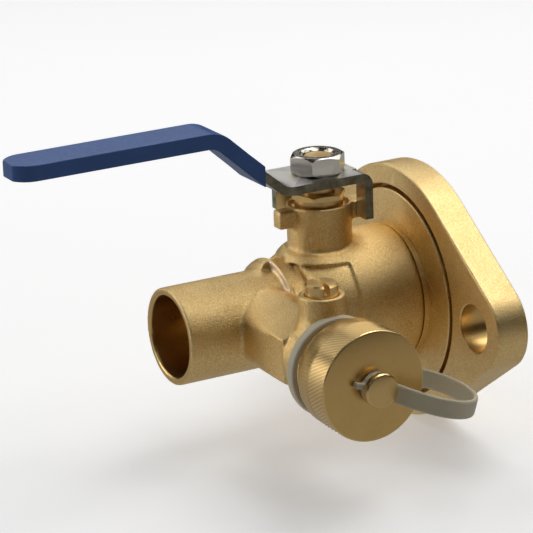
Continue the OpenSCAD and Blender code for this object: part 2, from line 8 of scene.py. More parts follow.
# %% Load the frame
import math
import bmesh
import bpy
import numpy as np
from mathutils import Matrix, Vector


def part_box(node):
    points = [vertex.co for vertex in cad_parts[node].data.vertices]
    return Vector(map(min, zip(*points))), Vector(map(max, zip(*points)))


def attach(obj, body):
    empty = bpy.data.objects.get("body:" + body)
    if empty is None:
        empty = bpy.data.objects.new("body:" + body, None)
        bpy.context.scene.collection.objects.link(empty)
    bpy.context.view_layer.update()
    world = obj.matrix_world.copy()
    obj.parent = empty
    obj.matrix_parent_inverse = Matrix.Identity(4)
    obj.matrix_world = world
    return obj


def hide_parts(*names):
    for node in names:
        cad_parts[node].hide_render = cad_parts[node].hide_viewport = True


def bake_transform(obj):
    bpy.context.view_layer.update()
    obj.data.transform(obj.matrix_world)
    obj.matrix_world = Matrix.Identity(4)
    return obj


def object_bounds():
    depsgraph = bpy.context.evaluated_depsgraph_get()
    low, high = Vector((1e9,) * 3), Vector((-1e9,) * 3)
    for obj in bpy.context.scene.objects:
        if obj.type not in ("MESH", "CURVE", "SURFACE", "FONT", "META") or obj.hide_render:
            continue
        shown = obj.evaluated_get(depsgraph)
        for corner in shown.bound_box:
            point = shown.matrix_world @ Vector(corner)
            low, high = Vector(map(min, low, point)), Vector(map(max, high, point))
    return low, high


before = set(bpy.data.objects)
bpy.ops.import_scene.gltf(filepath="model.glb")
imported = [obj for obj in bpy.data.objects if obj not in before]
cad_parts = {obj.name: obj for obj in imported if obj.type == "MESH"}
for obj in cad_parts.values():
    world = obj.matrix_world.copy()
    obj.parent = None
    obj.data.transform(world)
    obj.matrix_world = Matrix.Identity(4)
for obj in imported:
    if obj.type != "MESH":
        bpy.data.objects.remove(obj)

cad_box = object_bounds()
MM = 0.001
print("CAD box", [[round(c, 4) for c in corner] for corner in cad_box])

# %% [markdown]
# ## Places
# Every place comes from the frame. The main ball's box gives the crossing of the pipe's axis and
# the main stem, and the drain cap's box gives the drain's axis.

# %% Axes of the valve
def middle(node):
    low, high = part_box(node)
    return (low + high) / 2


BALL = middle("main_ball")
STEM_X = BALL.x
DRAIN_X = middle("drain_cap").x
DRAIN_BALL = middle("drain_ball")
print("ball at", BALL, "drain axis at x =", round(DRAIN_X, 4))

# %% [markdown]
# ## Camera
# A long lens a good arm's length away keeps the pipe and the flange nearly parallel, as product
# catalogues do. The camera is placed by angles round the ball: turned left of the drain side,
# raised a little, and rolled slightly. It aims a little left of the ball and above it.

# %% Camera
VIEW_TURN = math.radians(-28.23)
VIEW_RISE = math.radians(18.07)
VIEW_ROLL = math.radians(-2.05)
VIEW_DISTANCE = 815.64 * MM
AIM_RIGHT = -15.02 * MM
AIM_UP = 10.33 * MM
FRAME_SIDE = 533
FOCAL_SIDES = 3000  # the focal length on the same scale as the frame's side
SENSOR = 36.0


def view_axes(turn, rise, roll):
    back = Vector((math.sin(turn) * math.cos(rise), -math.cos(turn) * math.cos(rise), math.sin(rise)))
    level = Vector((math.cos(turn), math.sin(turn), 0))
    raised = back.cross(level)
    right = math.cos(roll) * level + math.sin(roll) * raised
    up = -math.sin(roll) * level + math.cos(roll) * raised
    return right, up, back


right, up, back = view_axes(VIEW_TURN, VIEW_RISE, VIEW_ROLL)
eye = Vector((STEM_X, 0, 0)) + AIM_RIGHT * right + AIM_UP * up + VIEW_DISTANCE * back
camera_data = bpy.data.cameras.new("studio_camera")
camera_data.sensor_width = SENSOR
camera_data.lens = SENSOR * FOCAL_SIDES / FRAME_SIDE
camera_data.clip_start = 0.01
camera_data.clip_end = 20
camera = bpy.data.objects.new("studio_camera", camera_data)
bpy.context.scene.collection.objects.link(camera)
turn = Matrix((right, up, back)).transposed().to_4x4()
camera.matrix_world = Matrix.Translation(eye) @ turn
bpy.context.scene.camera = camera
print("camera at", eye, "lens", round(camera_data.lens, 1), "mm")

# %% [markdown]
# ## Small helpers
# Pieces are bmesh work: a CAD node's mesh is copied and merged, its flat faces are joined, and
# its edges are bevelled as a file or a tumbler would leave them. Round pieces are spun from a
# profile. One helper turns a finished bmesh into an object that stands for its CAD node.

# %% Helper: a CAD copy as one clean skin
MERGE_GAP = 2e-6


def cad_copy(node):
    bm = bmesh.new()
    bm.from_mesh(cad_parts[node].data)
    bmesh.ops.remove_doubles(bm, verts=bm.verts, dist=MERGE_GAP)
    bmesh.ops.dissolve_degenerate(bm, edges=bm.edges, dist=MERGE_GAP)
    return bm


# %% Helper: a finished piece
def piece(bm, name, body, node, sharp=38):
    """Makes the object, shades it smooth up to the given angle, and hangs it on its body."""
    mesh = bpy.data.meshes.new(name)
    bm.to_mesh(mesh)
    bm.free()
    mesh.shade_smooth()
    mesh.set_sharp_from_angle(angle=math.radians(sharp))
    obj = bpy.data.objects.new(name, mesh)
    bpy.context.scene.collection.objects.link(obj)
    if body:
        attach(obj, body)
    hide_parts(node)
    print(name, "has", len(mesh.polygons), "faces")
    return obj


# %% Helper: bevelled copy of a CAD node
def crisp_edges(bm, angle):
    """Edges where two faces meet at more than the angle."""
    limit = math.radians(angle)
    return [e for e in bm.edges if len(e.link_faces) == 2 and e.calc_face_angle(0) > limit]


def softened(node, name, body, width, segments=2, angle=28, sharp=38):
    bm = cad_copy(node)
    bmesh.ops.dissolve_limit(bm, angle_limit=math.radians(0.4), verts=bm.verts, edges=bm.edges)
    bmesh.ops.bevel(bm, geom=crisp_edges(bm, angle), offset=width, offset_type="OFFSET",
                    segments=segments, profile=0.5, affect="EDGES", clamp_overlap=True, material=-1)
    obj = piece(bm, name, body, node, sharp)
    weigh_normals(obj)
    return obj


def weigh_normals(obj):
    """Large flat faces keep their own normal next to a bevel."""
    modifier = obj.modifiers.new("flat faces", "WEIGHTED_NORMAL")
    modifier.keep_sharp = True
    bake_modifiers(obj)


def bake_modifiers(obj):
    graph = bpy.context.evaluated_depsgraph_get()
    baked = bpy.data.meshes.new_from_object(obj.evaluated_get(graph))
    obj.modifiers.clear()
    obj.data = baked


# %% [markdown]
# ## Forged body
# The body is a hot forging, blasted with shot. Its branch, bosses and lugs run into each other
# with soft roots, which no CAD union has. A voxel remesh turns the CAD skin into an even mesh,
# and smoothing then opens a fillet wherever pieces meet. Machined rims and bores are kept out of
# the heavy smoothing, so that they stay crisp. Bevels could not do this: the joints are curved.

# %% Forged body: even skin
VOXEL = 0.36 * MM


def voxel_skin(bm, size):
    mesh = bpy.data.meshes.new("skin")
    bm.to_mesh(mesh)
    bm.free()
    obj = bpy.data.objects.new("skin", mesh)
    bpy.context.scene.collection.objects.link(obj)
    remesh = obj.modifiers.new("even skin", "REMESH")
    remesh.mode = "VOXEL"
    remesh.voxel_size = size
    bake_modifiers(obj)
    bm = bmesh.new()
    bm.from_mesh(obj.data)
    bpy.data.objects.remove(obj)
    return bm


def smooth(bm, verts, times, factor=0.5):
    for _ in range(times):
        bmesh.ops.smooth_vert(bm, verts=verts, factor=factor,
                              use_axis_x=True, use_axis_y=True, use_axis_z=True)


# %% Forged body: fillets at the roots
def inside(value, low, high):
    return low <= value <= high


# each zone is a shell between two radii and a slice between two heights
TUBE_R = 13.2 * MM
BRANCH_R = 10.6 * MM
SADDLE = 2.2 * MM
STEM_ROOT = (8.2 * MM, 11.6 * MM)
STEM_ROOT_Z = (13.5 * MM, 19 * MM)
DRAIN_ROOT = (5.6 * MM, 7.6 * MM)
DRAIN_ROOT_Z = (6.5 * MM, 12.5 * MM)
BRANCH_SLICE = (13 * MM, 26.8 * MM)
BRANCH_CORE = 9.6 * MM
LUG_ROOT = (7.4 * MM, 9.6 * MM)
LUG_ROOT_Z = (22.5 * MM, 30 * MM)


def stem_root(p):
    """The root of the main stem's boss on the chamber."""
    reach = math.hypot(p.x - STEM_X, p.y)
    return inside(reach, *STEM_ROOT) and inside(p.z, *STEM_ROOT_Z)


def drain_root(p):
    """The root of the slotted stem's boss on the neck."""
    reach = math.hypot(p.x - DRAIN_BALL.x, p.y - DRAIN_BALL.y)
    return inside(reach, *DRAIN_ROOT) and inside(p.z, *DRAIN_ROOT_Z)


def branch_root(p):
    """The saddle where the solder end's tube and the drain's branch run into each other."""
    off_tube = abs(math.hypot(p.y, p.z) - TUBE_R)
    off_branch = abs(math.hypot(p.x - DRAIN_X, p.z) - BRANCH_R)
    return off_tube < SADDLE and off_branch < SADDLE and p.y < -2 * MM


def branch_skin(p):
    """The round branch as it grows into its hexagon."""
    return inside(-p.y, *BRANCH_SLICE) and math.hypot(p.x - DRAIN_X, p.z) > BRANCH_CORE


def lug_root(p):
    reach = abs(p.x - STEM_X)
    return inside(reach, *LUG_ROOT) and abs(p.y) < 6 * MM and inside(p.z, *LUG_ROOT_Z)


bm = voxel_skin(cad_copy("valve_body"), VOXEL)
smooth(bm, bm.verts, 2)
for zone, times in ((stem_root, 6), (drain_root, 8), (branch_root, 12), (branch_skin, 10), (lug_root, 4)):
    chosen = [v for v in bm.verts if zone(v.co)]
    smooth(bm, chosen, times)
    print("smoothed", len(chosen), "points", times, "times")
forged_body = piece(bm, "forged_body", "root", "valve_body", sharp=60)

# %% [markdown]
# ## Flange and tailpiece
# The oval flange is a forging with drilled holes and a turned bore, and the tailpiece inside it
# is turned from bar. Both are plain shapes, so their CAD skins only need broken edges: a wide
# bevel on the flange's forged outline and a narrow one on the collar.

# %% Flange and tailpiece
oval_flange = softened("rotating_flange", "oval_flange", "flange", 0.55 * MM, 3)
collar_tailpiece = softened("flange_tailpiece", "collar_tailpiece", "root", 0.25 * MM)

# %% [markdown]
# ## Lever, grip and nuts
# The lever is sheared from plate and bent in a press, so its edges are broken only slightly. The
# grip is a dipped sleeve with full round edges. Both nuts come chamfered from the CAD model.

# %% Lever, grip and nuts
bent_lever = softened("lever_handle", "bent_lever", "lever", 0.22 * MM)
dipped_grip = softened("lever_grip", "dipped_grip", "lever", 0.9 * MM, 4, 35)
plated_nut = softened("handle_nut", "plated_nut", "lever", 0.14 * MM)
gland = softened("packing_gland_nut", "gland", "root", 0.15 * MM)
stem_bar = softened("valve_stem", "stem_bar", "lever", 0.12 * MM)
slotted_stem = softened("drain_stem", "slotted_stem", "drain_stem", 0.18 * MM)

# %% [markdown]
# ## Knurled cap
# A knurling wheel presses two crossing sets of lines into the cap's rim and leaves small
# pyramids, longer than wide because the lines lean 30 degrees from the axis. Spinning the cap's
# profile gives a grid of points on the rim; pressing in every second point of that grid, like the
# dark squares of a chessboard, leaves exactly those pyramids.

# %% Knurled cap
KNURL_STEPS = 176
KNURL_DEPTH = 0.34 * MM
KNURL_FROM = 6.1 * MM
KNURL_TO = 0.55 * MM
KNURL_LEAN = 1.73


def spun(profile, centre, steps):
    """Spins a closed profile of (radius, distance along -Y) round the drain's axis."""
    bm = bmesh.new()
    ring = [bm.verts.new((centre.x + r, -at, centre.z)) for r, at in profile]
    for a, b in zip(ring, ring[1:]):
        bm.edges.new((a, b))
    bmesh.ops.spin(bm, geom=bm.verts[:] + bm.edges[:], cent=centre, axis=(0, 1, 0),
                   angle=math.tau, steps=steps, use_merge=True)
    bmesh.ops.remove_doubles(bm, verts=bm.verts, dist=MERGE_GAP)
    bmesh.ops.recalc_face_normals(bm, faces=bm.faces)
    return bm


cap_low, cap_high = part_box("drain_cap")
nipple_low, nipple_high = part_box("drain_outlet_nipple")
CAP_R = (cap_high.x - cap_low.x) / 2
CAP_START = -cap_high.y
BUTTON_END = -cap_low.y
BUTTON_H = 4.5 * MM
CAP_FACE = BUTTON_END - BUTTON_H
CAP_END = 2.5 * MM
BORE_R = (nipple_high.x - nipple_low.x) / 2 + 0.1 * MM
BUTTON_R = 4.6 * MM
NECK_R = 2.6 * MM
band_from = CAP_START + KNURL_FROM
band_to = CAP_FACE - KNURL_TO
band_rows = round((band_to - band_from) / (math.tau * CAP_R / KNURL_STEPS * KNURL_LEAN))
band = [(CAP_R, band_from + (band_to - band_from) * i / band_rows) for i in range(band_rows + 1)]
button = [
    (NECK_R + 0.5 * MM, CAP_FACE), (NECK_R, CAP_FACE + 0.4 * MM), (NECK_R, BUTTON_END - 2 * MM),
    (BUTTON_R - 0.3 * MM, BUTTON_END - 2 * MM), (BUTTON_R, BUTTON_END - 1.7 * MM),
    (BUTTON_R, BUTTON_END - 0.6 * MM), (BUTTON_R - 0.25 * MM, BUTTON_END - 0.15 * MM),
    (BUTTON_R - 0.6 * MM, BUTTON_END), (0, BUTTON_END)]
profile = [
    (0, CAP_FACE - CAP_END), (BORE_R, CAP_FACE - CAP_END), (BORE_R, CAP_START),
    (CAP_R - 1.0 * MM, CAP_START), (CAP_R - 0.75 * MM, CAP_START + 0.3 * MM),
    (CAP_R - 0.25 * MM, CAP_START + 1.9 * MM), (CAP_R - 0.2 * MM, band_from - 0.25 * MM),
    *band, (CAP_R - 0.05 * MM, CAP_FACE - 0.4 * MM), (CAP_R - 0.2 * MM, CAP_FACE - 0.12 * MM),
    (CAP_R - 0.5 * MM, CAP_FACE), *button]
bm = spun(profile, Vector((DRAIN_X, 0, DRAIN_BALL.z)), KNURL_STEPS)
for v in bm.verts:
    row = (-v.co.y - band_from) / (band_to - band_from) * band_rows
    arm = Vector((v.co.x - DRAIN_X, 0, v.co.z - DRAIN_BALL.z))
    if abs(arm.length - CAP_R) < MERGE_GAP and -0.01 < row < band_rows + 0.01:
        column = math.atan2(arm.z, arm.x) / math.tau * KNURL_STEPS
        if (round(row) + round(column)) % 2:
            v.co -= arm.normalized() * KNURL_DEPTH
knurled_cap = piece(bm, "knurled_cap", "cap", "drain_cap", sharp=25)
print("knurl rows", band_rows)

# %% [markdown]
# ## Moulded strap
# The strap is one moulding in soft plastic: a ring round the neck, a flat strip and an eye on
# the button. The strip is a curve with a rounded section, because it follows one smooth bend.
# The ring and the eye are spun. A fine remesh then welds the three.

# %% Moulded strap: the strip
STRAP_HANG = math.radians(-18)
STRIP_LOW = 0.5 * MM
STRIP_W = 5 * MM
STRIP_T = 1.3 * MM
strap_low, strap_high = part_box("cap_strap")
RING_DROP = 0.5 * MM
ring_r = strap_high.z - DRAIN_BALL.z + RING_DROP
ring_from = -strap_high.y
ring_to = ring_from + 3.2 * MM
EYE_FROM = CAP_FACE + 0.3 * MM
EYE_TO = BUTTON_END - 2.3 * MM
EYE_R = 3.05 * MM
EYE_WALL = 1.25 * MM


def on_strap(out, along):
    """A point of the strap's own plane, which hangs round the drain's axis."""
    return Vector((DRAIN_X + out * math.cos(STRAP_HANG), -along, DRAIN_BALL.z + out * math.sin(STRAP_HANG)))


def cubic(points, t):
    a, b, c, d = (Vector(p) for p in points)
    return (1 - t) ** 3 * a + 3 * (1 - t) ** 2 * t * b + 3 * (1 - t) * t ** 2 * c + t ** 3 * d


strip_out = [(ring_r - 0.8 * MM, (ring_from + ring_to) / 2), (0.024, 0.0395), (0.0335, 0.042), (0.033, 0.054)]
eye_middle = (EYE_FROM + EYE_TO) / 2
strip_bend = (EYE_R + EYE_WALL + 1.3 * MM, eye_middle + 0.45 * MM)
strip_back = [strip_out[3], (0.0325, 0.068), (0.015, 0.087), strip_bend]
route = [cubic(strip_out, i / 20) for i in range(20)] + [cubic(strip_back, i / 28) for i in range(29)]
route.append(Vector((EYE_R + EYE_WALL / 2, eye_middle)))
line = bpy.data.curves.new("strip_line", "CURVE")
line.dimensions = "2D"
line.fill_mode = "NONE"
spline = line.splines.new("POLY")
spline.points.add(len(route) - 1)
for point, (out, along) in zip(spline.points, route):
    point.co = (out, along, 0, 1)
line.bevel_depth = STRIP_T / 2
line.bevel_resolution = 3
line.extrude = (STRIP_W - STRIP_T) / 2
line.use_fill_caps = True
strip = bpy.data.objects.new("strip_line", line)
bpy.context.scene.collection.objects.link(strip)
graph = bpy.context.evaluated_depsgraph_get()
strip_mesh = bpy.data.meshes.new_from_object(strip.evaluated_get(graph))
bpy.data.objects.remove(strip)
print("strip route of", len(route), "points and", len(strip_mesh.polygons), "faces")

# %% Moulded strap: ring, eye and weld
def rounded_ring(bm, r_in, r_out, start, end, drop):
    """A ring of rounded section round the drain's axis."""
    middle_r, middle_at = (r_in + r_out) / 2, (start + end) / 2
    half_r, half_w = (r_out - r_in) / 2, (end - start) / 2
    soft = 0.45
    section = []
    for i in range(16):
        a = math.tau * i / 16
        c, s = math.cos(a), math.sin(a)
        section.append((middle_r + half_r * math.copysign(abs(c) ** soft, c),
                        middle_at + half_w * math.copysign(abs(s) ** soft, s)))
    centre = Vector((DRAIN_X, 0, DRAIN_BALL.z - drop))
    part = spun(section + section[:1], centre, 96)
    mesh = bpy.data.meshes.new("ring")
    part.to_mesh(mesh)
    part.free()
    bm.from_mesh(mesh)
    bpy.data.meshes.remove(mesh)


bm = bmesh.new()
bm.from_mesh(strip_mesh)
bmesh.ops.remove_doubles(bm, verts=bm.verts, dist=MERGE_GAP)
for v in bm.verts:
    out, along, across = v.co
    side = Vector((-math.sin(STRAP_HANG), 0, math.cos(STRAP_HANG)))
    v.co = on_strap(out, along) + side * (across - STRIP_LOW)
bmesh.ops.recalc_face_normals(bm, faces=bm.faces)
rounded_ring(bm, ring_r - 1.75 * MM, ring_r, ring_from, ring_to, RING_DROP)
rounded_ring(bm, EYE_R, EYE_R + EYE_WALL, EYE_FROM, EYE_TO, 0)
tail = bmesh.ops.create_cube(bm, size=1)["verts"]
bmesh.ops.scale(bm, verts=tail, vec=(2.7 * MM, EYE_TO - EYE_FROM, 1.6 * MM))
bmesh.ops.translate(bm, verts=tail, vec=(-EYE_R - EYE_WALL - 0.95 * MM, -eye_middle, 0))
bmesh.ops.rotate(bm, verts=tail, cent=(0, 0, 0), matrix=Matrix.Rotation(-STRAP_HANG, 3, "Y"))
bmesh.ops.translate(bm, verts=tail, vec=(DRAIN_X, 0, DRAIN_BALL.z))
bm = voxel_skin(bm, 0.2 * MM)
smooth(bm, bm.verts, 4)
moulded_strap = piece(bm, "moulded_strap", None, "cap_strap", sharp=60)
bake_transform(moulded_strap)

# %% [markdown]
# ## Node groups
# Blasted brass, turned brass and plated steel share a few effects, so each effect is one node
# group: grain, turning marks, cloudy tone, and worn edges with painted shade in the hollows. A
# group puts out only masks, colours and heights. Every pattern reads Object coordinates, which
# are metres in the valve's own frame.

# %% Helper: short node making
def add(tree, kind, **settings):
    """Adds a node; settings that name a socket set or link it, others set an attribute."""
    node = tree.nodes.new(kind)
    for key, value in settings.items():
        socket = node.inputs.get(key.replace("_", " ")) if not key.startswith("in") else None
        if key.startswith("in") and key[2:].isdigit():
            socket = node.inputs[int(key[2:])]
        if socket is None:
            setattr(node, key, value)
        elif isinstance(value, bpy.types.NodeSocket):
            tree.links.new(value, socket)
        else:
            socket.default_value = value
    return node


def group(name, inputs, outputs):
    """A shader node group with named inputs (name: default) and outputs."""
    tree = bpy.data.node_groups.new(name, "ShaderNodeTree")
    for label, default in inputs.items():
        kind = "NodeSocketVector" if default is None else "NodeSocketFloat"
        socket = tree.interface.new_socket(name=label, in_out="INPUT", socket_type=kind)
        if default is not None:
            socket.default_value = default
    for label in outputs:
        tree.interface.new_socket(name=label, in_out="OUTPUT", socket_type="NodeSocketFloat")
    return tree, tree.nodes.new("NodeGroupInput"), tree.nodes.new("NodeGroupOutput")


# %% Node group: blasted grain
grain, given, result = group("blasted_grain", {"Vector": None, "Grain": 1800.0}, ["Height", "Speck"])
coarse = add(grain, "ShaderNodeTexNoise", Vector=given.outputs["Vector"], Scale=given.outputs["Grain"],
             Detail=2.0, Roughness=0.6)
size = add(grain, "ShaderNodeMath", operation="MULTIPLY", in0=given.outputs["Grain"], in1=2.7)
fine = add(grain, "ShaderNodeTexVoronoi", Vector=given.outputs["Vector"], Scale=size.outputs[0])
mixed = add(grain, "ShaderNodeMath", operation="MULTIPLY_ADD", in0=fine.outputs["Distance"], in1=0.45,
            in2=coarse.outputs["Fac"])
speck = add(grain, "ShaderNodeMapRange", Value=coarse.outputs["Fac"], From_Min=0.38, From_Max=0.66)
grain.links.new(mixed.outputs[0], result.inputs["Height"])
grain.links.new(speck.outputs["Result"], result.inputs["Speck"])

# %% Node group: turning marks
turning, given, result = group("turning_marks", {"Vector": None, "Lines": 2600.0}, ["Height", "Band"])
flat = add(turning, "ShaderNodeVectorMath", operation="MULTIPLY", in0=given.outputs["Vector"],
           in1=(1.0, 1.0, 0.0))
radius = add(turning, "ShaderNodeVectorMath", operation="LENGTH", in0=flat.outputs["Vector"])
lines = add(turning, "ShaderNodeTexNoise", noise_dimensions="1D", W=radius.outputs["Value"],
            Scale=given.outputs["Lines"], Detail=3.0, Roughness=0.7)
wide = add(turning, "ShaderNodeMath", operation="MULTIPLY", in0=given.outputs["Lines"], in1=0.22)
bands = add(turning, "ShaderNodeTexNoise", noise_dimensions="1D", W=radius.outputs["Value"],
            Scale=wide.outputs[0], Detail=1.0)
turning.links.new(lines.outputs["Fac"], result.inputs["Height"])
turning.links.new(bands.outputs["Fac"], result.inputs["Band"])

# %% Node group: cloudy tone, and worn edges with painted shade in the hollows
cloud, given, result = group("cloudy_tone", {"Vector": None, "Size": 90.0}, ["Tone"])
drift = add(cloud, "ShaderNodeTexNoise", Vector=given.outputs["Vector"], Scale=given.outputs["Size"],
            Detail=4.0, Roughness=0.6)
tone = add(cloud, "ShaderNodeMapRange", Value=drift.outputs["Fac"], From_Min=0.3, From_Max=0.7)
cloud.links.new(tone.outputs["Result"], result.inputs["Tone"])

edges, given, result = group("worn_edges_and_hollow_shade", {}, ["Edge", "Hollow"])
shape = add(edges, "ShaderNodeNewGeometry")
edge = add(edges, "ShaderNodeMapRange", Value=shape.outputs["Pointiness"], From_Min=0.52, From_Max=0.6)
# painted shade: hollows and creases get a mask that darkens their colour where shade falls
painted_hollow_shade = add(edges, "ShaderNodeMapRange", Value=shape.outputs["Pointiness"], From_Min=0.48, From_Max=0.4)
edges.links.new(edge.outputs["Result"], result.inputs["Edge"])
edges.links.new(painted_hollow_shade.outputs["Result"], result.inputs["Hollow"])

# %% [markdown]
# ## Finishes
# Each material is a Principled shader fed by those groups. Metals keep Metallic at 1 and take
# their look from colour, roughness and bump. Bump distances are real: a blasted skin is about a
# tenth of a millimetre deep, and turning marks a tenth of that.

# %% Helper: material and group use
def material(name):
    made = bpy.data.materials.new(name)
    made.use_nodes = True
    tree = made.node_tree
    tree.nodes.clear()
    shader = tree.nodes.new("ShaderNodeBsdfPrincipled")
    out = tree.nodes.new("ShaderNodeOutputMaterial")
    tree.links.new(shader.outputs[0], out.inputs["Surface"])
    place = tree.nodes.new("ShaderNodeTexCoord").outputs["Object"]
    return made, tree, shader, place


def use(tree, kit, **inputs):
    node = tree.nodes.new("ShaderNodeGroup")
    node.node_tree = kit
    for label, value in inputs.items():
        if isinstance(value, bpy.types.NodeSocket):
            tree.links.new(value, node.inputs[label])
        else:
            node.inputs[label].default_value = value
    return node.outputs


def blend_colours(tree, factor, low, high):
    """Mixes two colours, or a socket and a colour, by a factor."""
    mix = tree.nodes.new("ShaderNodeMix")
    mix.data_type = "RGBA"
    for socket, value in ((mix.inputs[0], factor), (mix.inputs[6], low), (mix.inputs[7], high)):
        if isinstance(value, bpy.types.NodeSocket):
            tree.links.new(value, socket)
        else:
            socket.default_value = value if isinstance(value, float) else (*value, 1)
    return mix.outputs[2]


def spread(tree, value, low, high):
    """Spreads a 0 to 1 mask over a range, such as of roughness."""
    return add(tree, "ShaderNodeMapRange", Value=value, To_Min=low, To_Max=high).outputs["Result"]


def bump(tree, shader, heights):
    """Chains bumps, each a (height, distance in metres) pair, into the shader's normal."""
    normal = None
    for height, distance in heights:
        node = add(tree, "ShaderNodeBump", Height=height, Distance=distance, Strength=1.0)
        if normal:
            tree.links.new(normal, node.inputs["Normal"])
        normal = node.outputs["Normal"]
    tree.links.new(normal, shader.inputs["Normal"])


def centred(tree, place, centre, turned=(0, 0, 0)):
    """Moves a pattern's origin to a point and turns its Z axis to a shaft's axis."""
    shifted = add(tree, "ShaderNodeVectorMath", operation="SUBTRACT", in0=place, in1=tuple(centre))
    rotated = add(tree, "ShaderNodeMapping", Vector=shifted.outputs["Vector"], Rotation=turned)
    return rotated.outputs["Vector"]


# %% Finish: forged and blasted brass
def forged_brass(name, grain_size=2300.0, deep=0.12 * MM):
    made, tree, shader, place = material(name)
    pits = use(tree, grain, Vector=place, Grain=grain_size)
    patch = use(tree, cloud, Vector=place, Size=120.0)
    edge_wear_and_hollow_shade = use(tree, edges)
    base = blend_colours(tree, patch["Tone"], (0.72, 0.46, 0.155), (0.86, 0.60, 0.245))
    base = blend_colours(tree, pits["Speck"], base, (0.95, 0.71, 0.34))
    # painted shade: dark brown brass laid into the hollows and roots of the forging
    base = blend_colours(tree, edge_wear_and_hollow_shade["Hollow"], base, (0.40, 0.23, 0.06))
    base = blend_colours(tree, edge_wear_and_hollow_shade["Edge"], base, (0.97, 0.77, 0.41))
    tree.links.new(base, shader.inputs["Base Color"])
    shader.inputs["Metallic"].default_value = 1.0
    tree.links.new(spread(tree, pits["Speck"], 0.42, 0.3), shader.inputs["Roughness"])
    bump(tree, shader, [(pits["Height"], deep)])
    return made


BLASTED = forged_brass("blasted_brass")
BLASTED_FLANGE = forged_brass("blasted_flange", 2600.0, 0.075 * MM)

# %% Finish: turned brass
ALONG_X = (0, math.radians(90), 0)
ALONG_Y = (math.radians(90), 0, 0)
UPRIGHT = (0, 0, 0)


def turned_brass(name, centre, axis):
    made, tree, shader, place = material(name)
    marks = use(tree, turning, Vector=centred(tree, place, centre, axis), Lines=3200.0)
    patch = use(tree, cloud, Vector=place, Size=160.0)
    edge_wear_and_hollow_shade = use(tree, edges)
    base = blend_colours(tree, patch["Tone"], (0.62, 0.39, 0.13), (0.78, 0.53, 0.21))
    base = blend_colours(tree, marks["Band"], base, (0.70, 0.47, 0.18))
    base = blend_colours(tree, edge_wear_and_hollow_shade["Edge"], base, (0.97, 0.78, 0.44))
    tree.links.new(base, shader.inputs["Base Color"])
    shader.inputs["Metallic"].default_value = 1.0
    tree.links.new(spread(tree, patch["Tone"], 0.26, 0.38), shader.inputs["Roughness"])
    bump(tree, shader, [(marks["Height"], 0.012 * MM)])
    return made


drain_centre = (DRAIN_X, 0, DRAIN_BALL.z)
stem_centre = (STEM_X, 0, 0)
CAP_BRASS = turned_brass("cap_brass", drain_centre, ALONG_Y)
BORE_BRASS = turned_brass("bore_brass", stem_centre, ALONG_X)
STEM_BRASS = turned_brass("stem_brass", stem_centre, UPRIGHT)
SCREW_BRASS = turned_brass("screw_brass", (DRAIN_BALL.x, DRAIN_BALL.y, 0), UPRIGHT)

# %% Finish: trimmed brass, where a belt took off the forging's flash, lightened by a painted highlight
def trimmed_brass(name):
    made, tree, shader, place = material(name)
    long_way = add(tree, "ShaderNodeMapping", Vector=place, Scale=(900.0, 5200.0, 900.0))
    scratch = add(tree, "ShaderNodeTexNoise", Vector=long_way.outputs["Vector"], Scale=1.0, Detail=2.0)
    # the pale pink colour is partly the belt-trimmed metal and partly a painted highlight on the face that
    # turns to the light
    base = blend_colours(tree, scratch.outputs["Fac"], (0.93, 0.72, 0.50), (1.0, 0.86, 0.70))
    tree.links.new(base, shader.inputs["Base Color"])
    shader.inputs["Metallic"].default_value = 1.0
    tree.links.new(spread(tree, scratch.outputs["Fac"], 0.55, 0.4), shader.inputs["Roughness"])
    bump(tree, shader, [(scratch.outputs["Fac"], 0.06 * MM)])
    return made


TRIMMED_WITH_PAINTED_HIGHLIGHT = trimmed_brass("trimmed_brass")

# %% Finish: zinc-plated steel, its face and its sheared edge
def plated_steel(name, face, tint, rough):
    made, tree, shader, place = material(name)
    patch = use(tree, cloud, Vector=place, Size=200.0)
    pits = use(tree, grain, Vector=place, Grain=1500.0)
    edge_wear_and_hollow_shade = use(tree, edges)
    base = blend_colours(tree, patch["Tone"], face, tint)
    base = blend_colours(tree, edge_wear_and_hollow_shade["Edge"], base, (0.80, 0.78, 0.70))
    tree.links.new(base, shader.inputs["Base Color"])
    shader.inputs["Metallic"].default_value = 1.0
    tree.links.new(spread(tree, pits["Speck"], rough, rough + 0.1), shader.inputs["Roughness"])
    bump(tree, shader, [(pits["Height"], 0.012 * MM)])
    return made


def sheared_steel(name):
    made, tree, shader, place = material(name)
    pits = use(tree, grain, Vector=place, Grain=2200.0)
    patch = use(tree, cloud, Vector=place, Size=400.0)
    base = blend_colours(tree, patch["Tone"], (0.16, 0.15, 0.10), (0.36, 0.34, 0.26))
    tree.links.new(base, shader.inputs["Base Color"])
    shader.inputs["Metallic"].default_value = 1.0
    tree.links.new(spread(tree, pits["Speck"], 0.55, 0.4), shader.inputs["Roughness"])
    bump(tree, shader, [(pits["Height"], 0.12 * MM)])
    return made


LEVER_FACE = plated_steel("lever_plating", (0.44, 0.42, 0.42), (0.60, 0.57, 0.60), 0.28)
NUT_PLATING = plated_steel("nut_plating", (0.72, 0.68, 0.56), (0.66, 0.61, 0.58), 0.16)
SHEARED = sheared_steel("sheared_edge")

# %% Finish: dipped vinyl, moulded strap, seats, seals and balls
def soft_plastic(name, low, high, rough, size, deep, glow=0.0):
    made, tree, shader, place = material(name)
    patch = use(tree, cloud, Vector=place, Size=60.0)
    skin = use(tree, grain, Vector=place, Grain=size)
    base = blend_colours(tree, patch["Tone"], low, high)
    tree.links.new(base, shader.inputs["Base Color"])
    tree.links.new(spread(tree, skin["Speck"], rough, rough + 0.08), shader.inputs["Roughness"])
    shader.inputs["Subsurface Weight"].default_value = glow
    shader.inputs["Subsurface Scale"].default_value = 0.6 * MM
    bump(tree, shader, [(skin["Height"], deep)])
    return made


